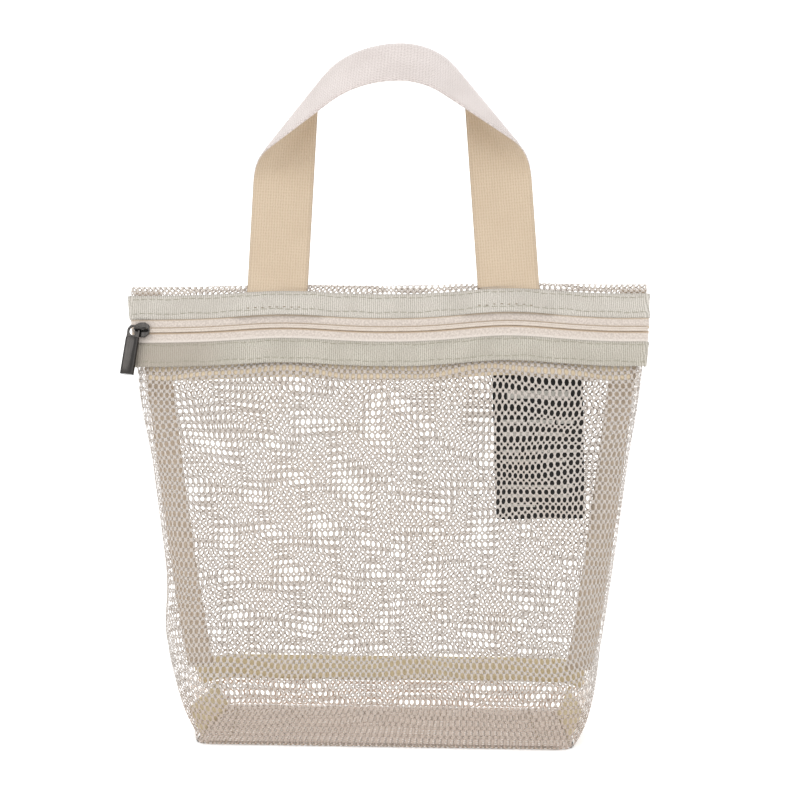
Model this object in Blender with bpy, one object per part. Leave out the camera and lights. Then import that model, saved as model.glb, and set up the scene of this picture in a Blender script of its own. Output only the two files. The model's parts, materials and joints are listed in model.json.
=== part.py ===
"""Small zipped beach bag of open net, with a boxed bottom and one handle of webbing.

+X is to the right of someone who faces the zip, -Y is the front and +Z is up.
The origin is the middle of the underside, on the ground. Everything is in metres.
"""

import math

import bmesh
import bpy
from mathutils import Matrix, Vector

# Body of the bag
BODY_HEIGHT = 0.2545
BASE_HALF_WIDTH = 0.104
BASE_HALF_DEPTH = 0.045
TOP_HALF_DEPTH = 0.0025
FLARE_WIDTH = 0.009  # how far the sides spring out just above the base
FLARE_HEIGHT = 0.014
TOP_SPREAD = 0.0378  # how much wider each side gets from there to the top
SPREAD_POWER = 0.85
BELLY = 0.003  # how far the walls swell at half height
BASE_CORNER = 0.010
CORNER_GROWTH = 0.6
TOP_CORNER_SHARE = 0.2
TOP_CORNER_FROM, TOP_CORNER_TO = 0.150, 0.200

# Cloth and seams
NET = 0.0008
GAP = 0.0003
SEAM_GAP = 0.0004
BOTTOM_SEAM_HEIGHT = 0.025
FRONT_TOP = 0.2200  # the front wall ends under the lower tape
FOLD_END = 0.2368  # the back wall, folded over the top, ends under the upper tape

# Zip band on the front wall, from the wall's surface outwards
ZIP_HEIGHT = 0.2283
ZIP_SLIT = 0.0005  # half of the slit between the two rows of coils
ZIP_TAPE_WIDTH = 0.0152
ZIP_TAPE = 0.0005
COIL_WIDTH = 0.0016
COIL_DEPTH = 0.0012
COIL_HALF_LENGTH = 0.1450
TAPE_WIDTH = 0.014
TAPE = 0.0005
LOWER_TAPE_TOP = 0.2214
UPPER_TAPE_TOP = 0.2490
FACING_BOTTOM, FACING_TOP = 0.1995, 0.2160
ZIP_TAPE_OFFSET = 0.0007
TAPE_OFFSET = ZIP_TAPE_OFFSET + ZIP_TAPE + GAP
BINDING = 0.0012
BINDING_WIDTH = 0.015

# Handle of webbing
WEBBING_WIDTH = 0.035
WEBBING = 0.0014
HANDLE_CENTRE = 0.0075
ARCH_TOP = 0.3735
ARCH_TILT = math.radians(48.5)  # how far the webbing at the top is turned up from level
ARCH_HALF_LENGTH = {-1: 0.039, 1: 0.0245}
LEG_LEAN = {-1: math.radians(3.2), 1: math.radians(4.0)}
FOLD_RADIUS = 0.009
FOLD_CLEAR = 0.025  # from the end of the arch to the middle of the soft fold
HANDLE_HINGE_HEIGHT = 0.2530
HANDLE_END_TOP = 0.2505
HANDLE_END_BOTTOM = 0.2365

# Slider and pull
SLIDER_X = -0.1412
SLIDER_HALF_LENGTH = 0.0043
SLIDER_HALF_HEIGHT = 0.0043
PLATE = 0.0010
PLATE_FRONT = 0.0040  # distance of the slider's face from the wall's surface
BRIDGE_RADIUS = 0.0007
BRIDGE_OUT = 0.0072
PULL_OUT = 0.0053
EYE_RADIUS = 0.0038
EYE_HOLE = 0.0025
EYE_THICKNESS = 0.0011
EYE_DROP = 0.0034  # from the middle of the hole down to the bar
BAR = Vector((0.0079, 0.0042, 0.0213))
PULL_TILT = math.radians(6.0)
PULL_HANG = Vector((-0.0006, 0.0, -0.0013))  # from the bridge's leg to the hole's middle

# Swing tag inside
TAG = Vector((0.052, 0.0005, 0.0873))
TAG_X = 0.083
TAG_HOLE_X = 0.088
TAG_TOP = 0.2078
TAG_Y = -0.0074
TAG_HOLE_RADIUS = 0.0018
TAG_RING_RADIUS = 0.0022
TAG_RING_WIRE = 0.00035
TAG_HOLE_BELOW_TOP = 0.0035


def clear_scene():
    for item in list(bpy.data.objects):
        bpy.data.objects.remove(item)


def material(name, colour, roughness, metallic=0.0):
    made = bpy.data.materials.new(name)
    made.use_nodes = True
    shader = made.node_tree.nodes["Principled BSDF"]
    shader.inputs["Base Color"].default_value = (*colour, 1.0)
    shader.inputs["Roughness"].default_value = roughness
    shader.inputs["Metallic"].default_value = metallic
    return made


def place(name, mesh, finish, smooth_angle=None):
    """One named object from a bmesh, with its faces turned out."""
    bmesh.ops.recalc_face_normals(mesh, faces=mesh.faces)
    data = bpy.data.meshes.new(name)
    mesh.to_mesh(data)
    mesh.free()
    if smooth_angle is not None:
        data.shade_smooth()
        data.set_sharp_from_angle(angle=smooth_angle)
    data.materials.append(finish)
    made = bpy.data.objects.new(name, data)
    bpy.context.scene.collection.objects.link(made)
    return made


def smooth_step(value, low, high):
    t = min(1.0, max(0.0, (value - low) / (high - low)))
    return t * t * (3.0 - 2.0 * t)


def spread(low, high, count):
    """count + 1 evenly spaced values."""
    return [low + (high - low) * i / count for i in range(count + 1)]


# The walls' shape

def half_width(z):
    flare = FLARE_WIDTH * (1.0 - math.exp(-max(z, 0.0) / FLARE_HEIGHT))
    return BASE_HALF_WIDTH + flare + TOP_SPREAD * (max(z, 0.0) / BODY_HEIGHT) ** SPREAD_POWER


def half_depth(z):
    t = z / BODY_HEIGHT
    return BASE_HALF_DEPTH * (1.0 - t) + TOP_HALF_DEPTH * t + BELLY * math.sin(math.pi * t)


def corner_radius(z):
    full = min(half_depth(z), BASE_CORNER + CORNER_GROWTH * z)
    squared = smooth_step(z, TOP_CORNER_FROM, TOP_CORNER_TO)
    return full * (1.0 - (1.0 - TOP_CORNER_SHARE) * squared)


def section(s, z, offset):
    """x and depth of a wall at height z: s is 0 in the middle and -1 or 1 at the side seams.

    The plan is half a rounded rectangle, and offset moves it outwards.
    """
    width, depth, radius = half_width(z), half_depth(z), corner_radius(z)
    flat = width - radius
    flank = depth - radius - SEAM_GAP
    turn = 0.5 * math.pi
    if flank < 0.0:
        flank = 0.0
        turn -= math.asin(SEAM_GAP / (radius - NET))
    arc = radius * turn
    run = abs(s) * (flat + arc + flank)
    if run <= flat:
        x, y = run, depth + offset
    elif run <= flat + arc:
        angle = (run - flat) / radius
        x = flat + (radius + offset) * math.sin(angle)
        y = depth - radius + (radius + offset) * math.cos(angle)
    else:
        x, y = width + offset, depth - radius - (run - flat - arc)
    return math.copysign(x, s), y


def wall_point(s, z, side, offset):
    x, y = section(s, z, offset)
    return Vector((x, side * y, z))


def front_y(z, offset):
    return -(half_depth(z) + offset)


def front_slope(z):
    """The angle by which the front wall leans back, from the vertical."""
    step = 0.001
    return math.atan2(half_depth(z - step) - half_depth(z + step), 2.0 * step)


# Solids

def closed_sheet(name, outer, inner, finish):
    """A closed body between two grids of points with the same rows and columns."""
    mesh = bmesh.new()
    grids = [[[mesh.verts.new(p) for p in row] for row in grid] for grid in (outer, inner)]
    rows, columns = len(outer), len(outer[0])
    for grid in grids:
        for i in range(rows - 1):
            for j in range(columns - 1):
                mesh.faces.new((grid[i][j], grid[i][j + 1], grid[i + 1][j + 1], grid[i + 1][j]))
    out, back = grids
    for i in (0, rows - 1):
        for j in range(columns - 1):
            mesh.faces.new((out[i][j], out[i][j + 1], back[i][j + 1], back[i][j]))
    for j in (0, columns - 1):
        for i in range(rows - 1):
            mesh.faces.new((out[i][j], out[i + 1][j], back[i + 1][j], back[i][j]))
    return place(name, mesh, finish, math.radians(40.0))


def wall_grid(seams, heights, side, offset):
    return [[wall_point(s, z, side, offset) for s in seams] for z in heights]


def wall_heights(bottom, top):
    """Heights for a wall's rows, closer together where its plan changes fastest."""
    return spread(bottom, 0.060, 6) + spread(0.060, 0.150, 3)[1:] + spread(0.150, top, 8)[1:]


def wall_columns(count, reach=1.0):
    """Values of s as far as reach, close together where a wall can turn its corner.

    All layers of a wall share the outer ones, so that they lie parallel round the corner.
    """
    middle = spread(-0.5, 0.5, count)
    ends = spread(0.5, 0.94, 8)[1:] + spread(0.94, 1.0, 5)[1:]
    ends = [s for s in ends if s < reach - 0.001] + [reach]
    return [-s for s in reversed(ends)] + middle + ends


def band(name, bottom, top, inner_offset, thickness, finish, rise=None, columns=4, reach=1.0, side=-1):
    """A flat tape that follows a wall; rise(x) adds to its distance from the wall."""
    seams = wall_columns(columns, reach)
    heights = spread(bottom, top, 3)

    def grid(offset):
        rows = []
        for z in heights:
            row = []
            for s in seams:
                lift = rise(section(s, z, 0.0)[0]) if rise else 0.0
                row.append(wall_point(s, z, side, offset + lift))
            rows.append(row)
        return rows

    return closed_sheet(name, grid(inner_offset + thickness), grid(inner_offset), finish)


def tube(name, points, radius, finish, cyclic=False, resolution=3):
    curve = bpy.data.curves.new(name, "CURVE")
    curve.dimensions = "3D"
    curve.bevel_depth = radius
    curve.bevel_resolution = resolution
    curve.use_fill_caps = not cyclic
    spline = curve.splines.new("POLY")
    spline.points.add(len(points) - 1)
    for point, at in zip(spline.points, points):
        point.co = (*at, 1.0)
    spline.use_cyclic_u = cyclic
    curve.materials.append(finish)
    made = bpy.data.objects.new(name, curve)
    bpy.context.scene.collection.objects.link(made)
    return made


# Net walls

def build_front_panel(finish):
    heights = wall_heights(NET + SEAM_GAP, FRONT_TOP)
    seams = wall_columns(4)
    return closed_sheet(
        "front_panel",
        wall_grid(seams, heights, -1, 0.0),
        wall_grid(seams, heights, -1, -NET),
        finish,
    )


def build_base_panel(finish):
    """The floor, which turns up the back as far as the bottom seam."""
    seams = wall_columns(4)
    rises = spread(0.0, BOTTOM_SEAM_HEIGHT - SEAM_GAP, 4)[1:]

    def grid(offset, floor):
        rows = []
        for across in spread(-1.0, 1.0, 4):
            row = []
            for s in seams:
                x, y = section(s, 0.0, offset)
                row.append(Vector((x, across * y, floor)))
            rows.append(row)
        return rows + wall_grid(seams, rises, 1, offset)

    return closed_sheet("base_panel", grid(0.0, 0.0), grid(-NET, NET), finish)


def build_back_panel(finish):
    """The back wall, folded over the top edge and down the front to the upper tape."""
    seams = wall_columns(4)
    crest = BODY_HEIGHT - TOP_HALF_DEPTH
    heights = wall_heights(BOTTOM_SEAM_HEIGHT, crest)

    def grid(offset):
        rows = wall_grid(seams, heights, 1, offset)
        for turn in spread(0.0, math.pi, 6)[1:-1]:
            row = []
            for s in seams:
                x, y = section(s, crest, offset)
                row.append(Vector((x, y * math.cos(turn), crest + y * math.sin(turn))))
            rows.append(row)
        return rows + wall_grid(seams, spread(crest, FOLD_END, 4), -1, offset)

    return closed_sheet("back_panel", grid(0.0), grid(-NET), finish)


# Inside bindings

def build_side_binding(side, finish):
    """The bound seam allowance, which stands in from the side seam."""
    heights = spread(0.036, 0.2465, 8)
    edge, half = 0.0025, 0.5 * BINDING

    def grid(y):
        rows = []
        for z in heights:
            outer = half_width(z) - edge
            rows.append([Vector((side * (outer - w), y, z)) for w in (0.0, BINDING_WIDTH)])
        return rows

    name = "side_binding_left" if side < 0 else "side_binding_right"
    return closed_sheet(name, grid(-half), grid(half), finish)


def build_corner_binding(side, finish):
    """The bound seam across the end of the boxed bottom, standing against the side."""
    clear, reach = 0.0055, 0.033

    def grid(inwards):
        rows = []
        for z in spread(0.0030, 0.0165, 2):
            x = half_width(z) - clear - inwards
            rows.append([Vector((side * x, y, z)) for y in spread(-reach, reach, 4)])
        return rows

    name = "corner_binding_left" if side < 0 else "corner_binding_right"
    return closed_sheet(name, grid(0.0), grid(BINDING), finish)


def build_bottom_binding(finish):
    """The binding of the bottom seam, inside the back wall."""
    low = BOTTOM_SEAM_HEIGHT - 0.5 * BINDING_WIDTH
    offset = -(NET + 2.0 * GAP + BINDING)
    high = low + BINDING_WIDTH
    return band("bottom_seam_binding", low, high, offset, BINDING, finish, reach=0.86, side=1)


# Handle

def arch_lean(lean):
    """The half turn of the arch that lets a soft diagonal fold bring the webbing flat down."""
    rise = math.cos(ARCH_TILT)
    turn = 0.6
    for _ in range(40):
        turn = math.asin(rise * (1.0 - math.cos(turn) * math.sin(lean)) / math.cos(lean))
    return turn


def webbing_point(length, across, side, lift):
    """A point of the webbing before its roots are set: length runs from the arch's middle.

    The webbing is bent and never stretched: it arches over, turns through a soft diagonal
    fold, and then goes down as a flat leg.
    """
    turn = arch_lean(LEG_LEAN[side])
    half = ARCH_HALF_LENGTH[side]
    radius = half / turn
    cross = Vector((0.0, math.cos(ARCH_TILT), math.sin(ARCH_TILT)))
    crown = Vector((0.0, -math.sin(ARCH_TILT), math.cos(ARCH_TILT)))

    def arch(run):
        angle = min(run, half) / radius
        out = Vector((math.cos(angle), 0.0, 0.0)) - crown * math.sin(angle)
        at = Vector((math.sin(angle), 0.0, 0.0)) * radius - crown * radius * (1.0 - math.cos(angle))
        return at + out * max(0.0, run - half), out

    start, along = arch(half + FOLD_CLEAR)
    face = along.cross(cross)
    crease = Vector((-face.z, 0.0, face.x)).normalized()
    onward = (along - crease * along.dot(crease)).normalized()
    folded = math.acos(face.y)
    at, heading = arch(length)
    point = at + cross * across
    normal = heading.cross(cross)
    past = (point - start).dot(onward) if length > half else -1.0
    if past > 0.0:
        slid = (point - start).dot(crease)
        angle = min(past / FOLD_RADIUS, folded)
        normal = face * math.cos(angle) + onward * math.sin(angle)
        ahead = onward * math.cos(angle) - face * math.sin(angle)
        beyond = max(0.0, past - FOLD_RADIUS * folded)
        point = start + (normal - face) * FOLD_RADIUS + ahead * beyond + crease * slid
    point = point + normal * lift
    return Vector((side * point.x + HANDLE_CENTRE, point.y, point.z + ARCH_TOP))


def leg_length(side):
    """The length along the webbing at which its middle reaches the hinge's height."""
    low, high = 0.10, 0.30
    for _ in range(40):
        middle = 0.5 * (low + high)
        if webbing_point(middle, 0.0, side, 0.0).z > HANDLE_HINGE_HEIGHT:
            low = middle
        else:
            high = middle
    return low


def handle_root_y():
    return front_y(HANDLE_HINGE_HEIGHT, TAPE_OFFSET + 0.5 * WEBBING)


def handle_roots():
    """For each side, the webbing's length to its root and where the root is."""
    roots = {}
    for side in (-1, 1):
        length = leg_length(side)
        roots[side] = (length, webbing_point(length, 0.0, side, 0.0))
    return roots


def handle_y_shift(roots, x):
    """Brings both roots to the bag's front, with an even change from one leg to the other."""
    left, right = roots[-1][1], roots[1][1]
    t = min(1.0, max(0.0, (x - left.x) / (right.x - left.x)))
    return handle_root_y() - (left.y * (1.0 - t) + right.y * t)


def build_handle(finish):
    roots = handle_roots()
    steps = [(-1, t) for t in reversed(spread(0.0, 1.0, 30))] + [(1, t) for t in spread(0.0, 1.0, 30)[1:]]

    def grid(lift):
        rows = []
        for side, t in steps:
            row = []
            for across in spread(-0.5 * WEBBING_WIDTH, 0.5 * WEBBING_WIDTH, 4):
                point = webbing_point(t * roots[side][0], across, side, lift)
                point.y += handle_y_shift(roots, point.x)
                row.append(point)
            rows.append(row)
        return rows

    made = closed_sheet("handle", grid(0.5 * WEBBING), grid(-0.5 * WEBBING), finish)
    hinge = Vector((0.0, handle_root_y(), HANDLE_HINGE_HEIGHT))
    made.data.transform(Matrix.Translation(-hinge))
    made.location = hinge
    return made


def build_handle_end(side, root, finish):
    """The end of the webbing that is sewn under the upper tape."""
    def grid(offset):
        rows = []
        for z in spread(HANDLE_END_BOTTOM, HANDLE_END_TOP, 3):
            x = root.x + side * math.tan(LEG_LEAN[side]) * (root.z - z)
            columns = spread(x - 0.5 * WEBBING_WIDTH, x + 0.5 * WEBBING_WIDTH, 4)
            rows.append([Vector((at, front_y(z, offset), z)) for at in columns])
        return rows

    name = "handle_end_left" if side < 0 else "handle_end_right"
    return closed_sheet(name, grid(TAPE_OFFSET + WEBBING), grid(TAPE_OFFSET), finish)


def tape_rise(roots):
    """How the upper tape stands out over the two ends of the webbing."""
    height = WEBBING + GAP
    flat, ramp = 0.5 * WEBBING_WIDTH + 0.004, 0.008

    def rise(x):
        return height * max(
            1.0 - smooth_step(abs(x - root.x), flat, flat + ramp) for _, root in roots.values()
        )

    return rise


# Zip

def wall_frame():
    """The leaning frame at the zip's middle: X along the zip, -Y out of the wall."""
    at = Vector((0.0, front_y(ZIP_HEIGHT, 0.0), ZIP_HEIGHT))
    return Matrix.Translation(at) @ Matrix.Rotation(-front_slope(ZIP_HEIGHT), 4, "X")


def build_coil(name, direction, finish):
    """One row of the zip's coils, as a rounded bar along the edge of its tape."""
    corners = ((0.0, 0.15), (0.25, 0.0), (0.8, 0.0), (1.0, 0.35), (0.8, 1.0), (0.25, 1.0), (0.0, 0.8))
    frame = wall_frame()

    def ring(x):
        points = []
        for up, out in corners:
            along = direction * (ZIP_SLIT + up * COIL_WIDTH)
            points.append(frame @ Vector((x, -(TAPE_OFFSET + out * COIL_DEPTH), along)))
        return points

    mesh = bmesh.new()
    ends = [[mesh.verts.new(p) for p in ring(x)] for x in (-COIL_HALF_LENGTH, COIL_HALF_LENGTH)]
    count = len(corners)
    for i in range(count):
        j = (i + 1) % count
        mesh.faces.new((ends[0][i], ends[0][j], ends[1][j], ends[1][i]))
    mesh.faces.new(ends[0])
    mesh.faces.new(ends[1])
    return place(name, mesh, finish, math.radians(50.0))


def slider_frame():
    return wall_frame() @ Matrix.Translation((SLIDER_X, 0.0, 0.0))


def stand_on_wall(made):
    """Sets an object that was made with -Y outwards on the leaning front wall at the slider."""
    made.matrix_world = slider_frame()
    return made


def build_slider_body(finish):
    """Two plates joined by a narrow post that runs between the rows of coils."""
    front, behind = -PLATE_FRONT, 0.0010
    post = 0.00025
    lip = 0.0010
    lip_end = -(TAPE_OFFSET + 0.0002)
    half = [
        (front, 0.0),
        (front, SLIDER_HALF_HEIGHT - 0.0006),
        (front + 0.0006, SLIDER_HALF_HEIGHT),
        (lip_end, SLIDER_HALF_HEIGHT),
        (lip_end, SLIDER_HALF_HEIGHT - lip),
        (front + PLATE, SLIDER_HALF_HEIGHT - lip),
        (front + PLATE, post),
        (0.0, post),
        (0.0, SLIDER_HALF_HEIGHT - 0.0006),
        (behind, SLIDER_HALF_HEIGHT - 0.0006),
        (behind, 0.0),
    ]
    outline = half + [(y, -z) for y, z in reversed(half[1:-1])]
    mesh = bmesh.new()
    start = mesh.faces.new([mesh.verts.new((-SLIDER_HALF_LENGTH, y, z)) for y, z in outline])
    moved = bmesh.ops.extrude_face_region(mesh, geom=[start])["geom"]
    tips = [v for v in moved if isinstance(v, bmesh.types.BMVert)]
    bmesh.ops.translate(mesh, verts=tips, vec=(2.0 * SLIDER_HALF_LENGTH, 0.0, 0.0))
    return stand_on_wall(place("slider_body", mesh, finish))


def bridge_leg_x():
    return -SLIDER_HALF_LENGTH + BRIDGE_RADIUS


def build_slider_bridge(finish):
    """The loop on the slider's face that holds the pull."""
    left, right = bridge_leg_x(), 0.0026
    foot = -(PLATE_FRONT + GAP)
    top = -BRIDGE_OUT
    bend = 0.0010
    points = [(left, foot, 0.0)]
    for angle in spread(0.0, 0.5 * math.pi, 4):
        points.append((left + bend * (1 - math.cos(angle)), top + bend * (1 - math.sin(angle)), 0.0))
    for angle in spread(0.0, 0.5 * math.pi, 4):
        points.append((right - bend * (1 - math.sin(angle)), top + bend * (1 - math.cos(angle)), 0.0))
    points.append((right, foot, 0.0))
    return stand_on_wall(tube("slider_bridge", points, BRIDGE_RADIUS, finish, resolution=2))


def build_pull(finish):
    """A flat eye on the bridge's left leg, cast in one with a thick bar that hangs from it."""
    mesh = bmesh.new()
    steps = 24
    rim, hole = [], []
    for i in range(steps):
        angle = 2.0 * math.pi * (i + 0.5) / steps
        out = Vector((math.cos(angle), math.sin(angle)))
        reach = EYE_RADIUS
        if out.y < 0.0:
            reach = min(EYE_RADIUS / max(abs(out.x), 1e-6), (EYE_DROP + 0.0006) / -out.y)
        rim.append(out * reach)
        hole.append(out * EYE_HOLE)
    half = 0.5 * EYE_THICKNESS
    rings = []
    for outline in (rim, hole):
        for y in (-half, half):
            rings.append([mesh.verts.new((p.x, y, p.y)) for p in outline])
    rim_out, rim_in, hole_out, hole_in = rings
    for near, far in ((rim_out, hole_out), (hole_out, hole_in), (hole_in, rim_in), (rim_in, rim_out)):
        for i in range(steps):
            j = (i + 1) % steps
            mesh.faces.new((near[i], near[j], far[j], far[i]))
    eye = place("pull", mesh, finish, math.radians(40.0))

    block = bmesh.new()
    bmesh.ops.create_cube(block, size=1.0)
    bmesh.ops.scale(block, vec=BAR, verts=block.verts)
    drop = EYE_DROP + 0.5 * BAR.z
    bmesh.ops.translate(block, vec=(0.0, 0.0, -drop), verts=block.verts)
    upright = [e for e in block.edges if abs(e.verts[0].co.z - e.verts[1].co.z) > 0.5 * BAR.z]
    bmesh.ops.bevel(block, geom=upright, offset=0.0016, segments=3, profile=0.5, affect="EDGES")
    bar = place("pull_bar_shape", block, finish)
    bar.hide_render = True
    bar.display_type = "WIRE"
    join = eye.modifiers.new("bar", "BOOLEAN")
    join.operation = "UNION"
    join.object = bar

    swing = Matrix.Rotation(PULL_TILT, 4, "Y")
    hung = Matrix.Translation(PULL_HANG)
    frame = slider_frame() @ Matrix.Translation((bridge_leg_x(), -PULL_OUT, 0.0))
    for made in (eye, bar):
        made.data.transform(swing @ hung)
        made.matrix_world = frame
    return eye


# Swing tag

def build_tag(finish):
    """A card with a hole near its top edge."""
    steps = 16
    mesh = bmesh.new()
    hole_z = TAG_TOP - TAG_HOLE_BELOW_TOP
    left, right = TAG_X - 0.5 * TAG.x, TAG_X + 0.5 * TAG.x
    low = TAG_TOP - TAG.z
    square = TAG_HOLE_BELOW_TOP
    hole, frame = [], []
    for i in range(steps):
        angle = 2.0 * math.pi * i / steps
        across, up = math.cos(angle), math.sin(angle)
        most = max(abs(across), abs(up))
        hole.append((TAG_HOLE_X + TAG_HOLE_RADIUS * across, hole_z + TAG_HOLE_RADIUS * up))
        frame.append((TAG_HOLE_X + square * across / most, hole_z + square * up / most))
    layers = []
    half = 0.5 * TAG.y
    for y in (TAG_Y - half, TAG_Y + half):
        inner = [mesh.verts.new((x, y, z)) for x, z in hole]
        outer = [mesh.verts.new((x, y, z)) for x, z in frame]
        corner = {
            key: mesh.verts.new((x, y, z))
            for key, x, z in (
                ("tl", left, TAG_TOP),
                ("tr", right, TAG_TOP),
                ("bl", left, low),
                ("br", right, low),
            )
        }
        for i in range(steps):
            j = (i + 1) % steps
            mesh.faces.new((inner[i], inner[j], outer[j], outer[i]))
        eighth = steps // 8
        right_side = [outer[i % steps] for i in range(-eighth, eighth + 1)]
        left_side = [outer[i] for i in range(3 * eighth, 5 * eighth + 1)]
        under = [outer[i] for i in range(5 * eighth, 7 * eighth + 1)]
        mesh.faces.new(right_side + [corner["tr"], corner["br"]])
        mesh.faces.new(left_side + [corner["bl"], corner["tl"]])
        mesh.faces.new(under + [corner["br"], corner["bl"]])
        top_edge = [outer[i] for i in range(eighth, 3 * eighth + 1)]
        border = [corner["br"], corner["tr"]] + top_edge + [corner["tl"], corner["bl"]]
        layers.append((inner, border))
    for near, far in zip(*layers):
        for i in range(len(near)):
            j = (i + 1) % len(near)
            mesh.faces.new((near[i], near[j], far[j], far[i]))
    return place("swing_tag", mesh, finish)


def build_tag_ring(finish):
    """The plastic loop that hangs the tag behind the facing tape."""
    hole_z = TAG_TOP - TAG_HOLE_BELOW_TOP
    centre = Vector((TAG_HOLE_X, TAG_Y, hole_z + TAG_RING_RADIUS))
    points = []
    for i in range(20):
        angle = 2.0 * math.pi * i / 20
        points.append(
            centre + TAG_RING_RADIUS * Vector((0.0, math.cos(angle), math.sin(angle)))
        )
    return tube("tag_ring", points, TAG_RING_WIRE, finish, cyclic=True, resolution=1)


def build_bag():
    net = material("net", (0.62, 0.59, 0.52), 0.75)
    grosgrain = material("grosgrain", (0.60, 0.56, 0.49), 0.8)
    binding = material("binding", (0.62, 0.50, 0.36), 0.85)
    zip_cloth = material("zip_cloth", (0.72, 0.64, 0.56), 0.8)
    nylon = material("nylon_coil", (0.74, 0.66, 0.56), 0.45)
    webbing = material("webbing", (0.74, 0.64, 0.50), 0.85)
    gunmetal = material("gunmetal", (0.10, 0.10, 0.10), 0.3, 1.0)
    card = material("card", (0.02, 0.02, 0.02), 0.5)
    plastic = material("tag_plastic", (0.03, 0.03, 0.03), 0.4)

    build_front_panel(net)
    build_base_panel(net)
    build_back_panel(net)
    for side in (-1, 1):
        build_side_binding(side, binding)
        build_corner_binding(side, binding)
    build_bottom_binding(binding)

    roots = handle_roots()
    for side in (-1, 1):
        root = roots[side][1].copy()
        build_handle_end(side, root, webbing)
    build_handle(webbing)

    build_coil("zip_coil_upper", 1, nylon)
    build_coil("zip_coil_lower", -1, nylon)
    slit = ZIP_HEIGHT + (ZIP_TAPE_OFFSET + 0.5 * ZIP_TAPE) * math.sin(front_slope(ZIP_HEIGHT))
    tapes_from = slit + ZIP_SLIT
    zip_tape = dict(inner_offset=ZIP_TAPE_OFFSET, thickness=ZIP_TAPE, finish=zip_cloth)
    band("zip_tape_upper", tapes_from, tapes_from + ZIP_TAPE_WIDTH, **zip_tape)
    tapes_to = slit - ZIP_SLIT
    band("zip_tape_lower", tapes_to - ZIP_TAPE_WIDTH, tapes_to, **zip_tape)
    upper_low = UPPER_TAPE_TOP - TAPE_WIDTH
    band("upper_tape", upper_low, UPPER_TAPE_TOP, TAPE_OFFSET, TAPE, grosgrain, tape_rise(roots), 36)
    lower_low = LOWER_TAPE_TOP - TAPE_WIDTH
    band("lower_tape", lower_low, LOWER_TAPE_TOP, TAPE_OFFSET, TAPE, grosgrain)
    facing_offset = -(NET + GAP + TAPE)
    band("facing_tape", FACING_BOTTOM, FACING_TOP, facing_offset, TAPE, binding, reach=0.885)

    build_slider_body(gunmetal)
    build_slider_bridge(gunmetal)
    build_pull(gunmetal)
    build_tag(card)
    build_tag_ring(plastic)


clear_scene()
build_bag()
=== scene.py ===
"""Looks of the net beach bag: open net walls, taped zip band, bound seams, webbing handle.

+X is to the right of someone who faces the zip, -Y is the front and +Z is up, in metres.
"""

import json
import math

import bmesh
import bpy
import numpy as np
from mathutils import Matrix, Vector


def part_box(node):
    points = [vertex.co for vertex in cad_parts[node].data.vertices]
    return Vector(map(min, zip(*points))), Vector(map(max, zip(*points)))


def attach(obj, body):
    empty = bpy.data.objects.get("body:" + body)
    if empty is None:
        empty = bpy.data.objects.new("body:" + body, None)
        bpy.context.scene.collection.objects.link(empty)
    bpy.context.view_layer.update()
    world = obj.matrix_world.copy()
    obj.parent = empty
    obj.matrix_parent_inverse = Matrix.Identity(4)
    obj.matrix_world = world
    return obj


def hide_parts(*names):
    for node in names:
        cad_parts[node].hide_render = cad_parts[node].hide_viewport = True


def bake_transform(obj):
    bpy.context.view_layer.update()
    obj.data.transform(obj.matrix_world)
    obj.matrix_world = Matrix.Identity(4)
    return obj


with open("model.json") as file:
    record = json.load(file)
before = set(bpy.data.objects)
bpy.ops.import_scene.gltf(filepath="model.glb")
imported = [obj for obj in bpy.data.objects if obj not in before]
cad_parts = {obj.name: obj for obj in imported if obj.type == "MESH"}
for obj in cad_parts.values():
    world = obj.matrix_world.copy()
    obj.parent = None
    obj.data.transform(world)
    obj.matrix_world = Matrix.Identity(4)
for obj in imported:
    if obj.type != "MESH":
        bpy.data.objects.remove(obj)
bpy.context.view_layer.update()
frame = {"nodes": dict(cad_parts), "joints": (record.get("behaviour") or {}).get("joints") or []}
joints = {joint["name"]: joint for joint in frame["joints"]}

# The walls of the bag, as the CAD model has them
BODY_HEIGHT = 0.2545
BASE_HALF_WIDTH, BASE_HALF_DEPTH, TOP_HALF_DEPTH = 0.104, 0.045, 0.0025
FLARE_WIDTH, FLARE_HEIGHT = 0.009, 0.014
TOP_SPREAD, SPREAD_POWER = 0.0378, 0.85
BELLY = 0.003
BASE_CORNER, CORNER_GROWTH, TOP_CORNER_SHARE = 0.010, 0.6, 0.2
TOP_CORNER_FROM, TOP_CORNER_TO = 0.150, 0.200
NET, SEAM_GAP = 0.0008, 0.0004
BOTTOM_SEAM_HEIGHT = 0.025
FRONT_TOP, FOLD_END = 0.2200, 0.2368
ZIP_HEIGHT = 0.2283
ZIP_TAPE_OFFSET, ZIP_TAPE = 0.0007, 0.0005
TAPE_OFFSET, TAPE = 0.0015, 0.0005

# The coils run a little past the CAD model's, as far as the side seams
COIL_HALF_LENGTH = 0.1474

# The handle's webbing
WEBBING_WIDTH, WEBBING = 0.035, 0.0014
HANDLE_CENTRE, ARCH_TOP = 0.0075, 0.3735
ARCH_TILT = math.radians(48.5)
ARCH_HALF_LENGTH = {-1: 0.039, 1: 0.0245}
LEG_LEAN = {-1: math.radians(3.2), 1: math.radians(4.0)}
FOLD_RADIUS, FOLD_CLEAR = 0.009, 0.025
HINGE_HEIGHT = joints["handle_fold"]["pos_m"][2]
HINGE_Y = joints["handle_fold"]["pos_m"][1]
# The right leg stands this much further to the right than its CAD solid
RIGHT_LEG_SHIFT = 0.0022

RANDOM = np.random.default_rng(7)


# The walls' shape

def smooth(value, low, high):
    t = np.clip((value - low) / (high - low), 0.0, 1.0)
    return t * t * (3.0 - 2.0 * t)


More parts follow.
